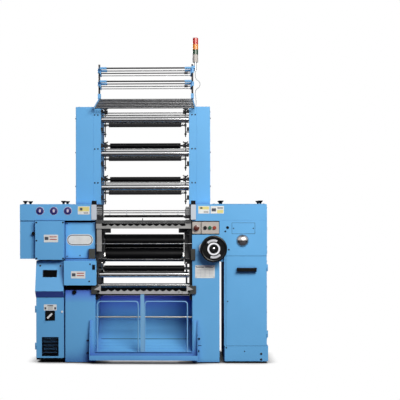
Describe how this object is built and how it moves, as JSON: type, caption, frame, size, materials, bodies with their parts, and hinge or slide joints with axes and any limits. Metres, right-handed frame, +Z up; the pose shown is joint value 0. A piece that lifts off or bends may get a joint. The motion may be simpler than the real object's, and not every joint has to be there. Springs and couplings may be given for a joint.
{
  "type": "crochet knitting machine",
  "caption": "Crochet knitting machine for narrow elastic fabrics: two columns and heads, roller feed towers, scalloped comb bars, take-down rollers, cabinets and a signal lamp.",
  "frame": {"origin": "middle of the machine's footprint, on the floor", "axes": "+X to the operator's right, +Y from the operator's side to the back, +Z up"},
  "size_m": [1.736, 0.76, 2.345],
  "materials": {
    "blue_paint": "semi-gloss sky blue enamel",
    "creel_paint": "pale blue enamel",
    "pale_paint": "satin light grey enamel",
    "motor_paint": "satin grey enamel",
    "bright_chrome": "polished",
    "bright_steel": "ground",
    "dark_steel": "blackened",
    "zinc_plate": "zinc plated",
    "bare_aluminium": "milled",
    "grey_casting": "machined and oiled",
    "black_rubber": "ground smooth",
    "grey_rubber": "smooth cable jacket",
    "dark_felt": "felt",
    "black_plastic": "fine texture",
    "grey_plastic": "satin",
    "red_plastic": "gloss",
    "green_plastic": "gloss",
    "red_lens": "ribbed, translucent",
    "amber_lens": "ribbed, translucent",
    "green_lens": "ribbed, translucent"
  },
  "bodies": {
    "machine": {"levelling_feet": "dark_steel", "left_column": "blue_paint", "right_column": "blue_paint", "side_frames": "blue_paint", "left_head_housing": "blue_paint", "right_head_housing": "blue_paint", "head_end_caps": "pale_paint", "left_gear_cover": "blue_paint", "left_front_cover": "blue_paint", "service_box": "blue_paint", "control_console": "blue_paint", "electrical_cabinet": "blue_paint", "electrical_plate": "zinc_plate", "right_cabinet": "blue_paint", "inspection_dome": "bright_chrome", "button_panel": "grey_plastic", "left_tower": "blue_paint", "right_tower": "blue_paint", "creel_frame": "creel_paint", "creel_rods": "dark_steel", "lamp_base": "grey_plastic", "lamp_red": "red_lens", "lamp_amber": "amber_lens", "lamp_green": "green_lens", "lamp_cable": "grey_rubber", "press_levers": "dark_steel", "clearer_rods": "dark_felt", "upper_comb_bar": "bare_aluminium", "lower_comb_bar": "bare_aluminium", "bearing_brackets": "grey_casting", "guide_rods": "bright_steel", "cover_knobs": "black_plastic", "motor": "motor_paint", "drive_belt": "black_rubber", "catch_tray": "blue_paint", "guard_frame": "blue_paint"},
    "handwheel": {"handwheel": "black_plastic"},
    "emergency_stop": {"emergency_stop": "red_plastic"},
    "push_button_black": {"push_button_black": "black_plastic"},
    "push_button_green": {"push_button_green": "green_plastic"},
    "push_button_red": {"push_button_red": "red_plastic"},
    "feed_roller_1": {"feed_roller_1": "bright_chrome"},
    "feed_roller_2": {"feed_roller_2": "bright_chrome"},
    "feed_roller_3": {"feed_roller_3": "bright_chrome"},
    "press_roller_2": {"press_roller_2": "black_rubber"},
    "press_roller_3": {"press_roller_3": "black_rubber"},
    "needle_bar": {"needle_bar": "bright_steel"},
    "weft_bars": {"weft_bars": "bright_steel"},
    "take_down_roller_upper": {"take_down_roller_upper": "black_rubber"},
    "take_down_roller_lower": {"take_down_roller_lower": "black_rubber"},
    "nip_roller_upper": {"nip_roller_upper": "black_rubber"},
    "nip_roller_lower": {"nip_roller_lower": "bright_chrome"},
    "steel_roller": {"steel_roller": "bright_steel"},
    "fabric_roller": {"fabric_roller": "bright_chrome"},
    "main_pulley": {"main_pulley": "grey_casting"},
    "motor_pulley": {"motor_pulley": "grey_casting"},
    "electrical_door": {"electrical_door": "blue_paint"},
    "isolator_knob": {"isolator_knob": "grey_plastic"},
    "cabinet_door": {"cabinet_door": "blue_paint", "door_handle": "black_plastic"}
  },
  "joints": [
    {"name": "handwheel_spin", "type": "hinge", "parent": "machine", "child": "handwheel", "pos_m": [0.488, -0.366, 0.801], "axis": [0, 1, 0], "continuous": true},
    {"name": "feed_roller_1_spin", "type": "hinge", "parent": "machine", "child": "feed_roller_1", "pos_m": [0, 0, 1.727], "axis": [1, 0, 0], "continuous": true},
    {"name": "feed_roller_2_spin", "type": "hinge", "parent": "machine", "child": "feed_roller_2", "pos_m": [0, 0, 1.481], "axis": [1, 0, 0], "continuous": true},
    {"name": "feed_roller_3_spin", "type": "hinge", "parent": "machine", "child": "feed_roller_3", "pos_m": [0, 0, 1.235], "axis": [1, 0, 0], "continuous": true},
    {"name": "press_roller_2_spin", "type": "hinge", "parent": "machine", "child": "press_roller_2", "pos_m": [0, 0.034, 1.54], "axis": [1, 0, 0], "continuous": true},
    {"name": "press_roller_3_spin", "type": "hinge", "parent": "machine", "child": "press_roller_3", "pos_m": [0, 0.034, 1.294], "axis": [1, 0, 0], "continuous": true},
    {"name": "take_down_lower_spin", "type": "hinge", "parent": "machine", "child": "take_down_roller_lower", "pos_m": [0, -0.15, 0.7525], "axis": [1, 0, 0], "continuous": true},
    {"name": "take_down_upper_spin", "type": "hinge", "parent": "machine", "child": "take_down_roller_upper", "pos_m": [0, -0.15, 0.85], "axis": [1, 0, 0], "continuous": true},
    {"name": "nip_lower_spin", "type": "hinge", "parent": "machine", "child": "nip_roller_lower", "pos_m": [0, -0.2, 0.6137], "axis": [1, 0, 0], "continuous": true},
    {"name": "nip_upper_spin", "type": "hinge", "parent": "machine", "child": "nip_roller_upper", "pos_m": [0, -0.2, 0.657], "axis": [1, 0, 0], "continuous": true},
    {"name": "steel_roller_spin", "type": "hinge", "parent": "machine", "child": "steel_roller", "pos_m": [0, -0.235, 0.539], "axis": [1, 0, 0], "continuous": true},
    {"name": "fabric_roller_spin", "type": "hinge", "parent": "machine", "child": "fabric_roller", "pos_m": [0, -0.19, 0.311], "axis": [1, 0, 0], "continuous": true},
    {"name": "main_pulley_spin", "type": "hinge", "parent": "machine", "child": "main_pulley", "pos_m": [0.702, -0.1, 0.6], "axis": [0, 1, 0], "continuous": true},
    {"name": "motor_pulley_spin", "type": "hinge", "parent": "machine", "child": "motor_pulley", "pos_m": [0.702, -0.1, 0.177], "axis": [0, 1, 0], "continuous": true},
    {"name": "emergency_stop_push", "type": "slide", "parent": "machine", "child": "emergency_stop", "axis": [0, 1, 0], "range_m": [0, 0.005], "stiffness_N_per_m": 400},
    {"name": "push_button_black_push", "type": "slide", "parent": "machine", "child": "push_button_black", "axis": [0, 1, 0], "range_m": [0, 0.004], "stiffness_N_per_m": 250},
    {"name": "push_button_green_push", "type": "slide", "parent": "machine", "child": "push_button_green", "axis": [0, 1, 0], "range_m": [0, 0.004], "stiffness_N_per_m": 250},
    {"name": "push_button_red_push", "type": "slide", "parent": "machine", "child": "push_button_red", "axis": [0, 1, 0], "range_m": [0, 0.004], "stiffness_N_per_m": 250},
    {"name": "needle_bar_stroke", "type": "slide", "parent": "machine", "child": "needle_bar", "axis": [0, 1, 0], "range_m": [0, 0.014]},
    {"name": "weft_bar_shog", "type": "slide", "parent": "machine", "child": "weft_bars", "axis": [1, 0, 0], "range_m": [-0.008, 0.008]},
    {"name": "electrical_door_swing", "type": "hinge", "parent": "machine", "child": "electrical_door", "pos_m": [-0.7613, -0.283, 0.2455], "axis": [0, 0, -1], "range_deg": [0, 110]},
    {"name": "cabinet_door_swing", "type": "hinge", "parent": "machine", "child": "cabinet_door", "pos_m": [0.8643, -0.283, 0.435], "axis": [0, 0, 1], "range_deg": [0, 110]},
    {"name": "isolator_turn", "type": "hinge", "parent": "electrical_door", "child": "isolator_knob", "pos_m": [-0.657, -0.294, 0.331], "axis": [0, 1, 0], "range_deg": [0, 90]}
  ],
  "couplings": [
    {"joint": "feed_roller_1_spin", "follows": "handwheel_spin", "ratio": 0.25},
    {"joint": "feed_roller_2_spin", "follows": "handwheel_spin", "ratio": 0.25},
    {"joint": "feed_roller_3_spin", "follows": "handwheel_spin", "ratio": 0.25},
    {"joint": "take_down_lower_spin", "follows": "handwheel_spin", "ratio": -0.1183},
    {"joint": "take_down_upper_spin", "follows": "handwheel_spin", "ratio": 0.1183},
    {"joint": "nip_lower_spin", "follows": "handwheel_spin", "ratio": 0.2712},
    {"joint": "nip_upper_spin", "follows": "handwheel_spin", "ratio": -0.2638},
    {"joint": "steel_roller_spin", "follows": "handwheel_spin", "ratio": 0.3833},
    {"joint": "main_pulley_spin", "follows": "handwheel_spin", "ratio": 1},
    {"joint": "motor_pulley_spin", "follows": "handwheel_spin", "ratio": 2}
  ]
}
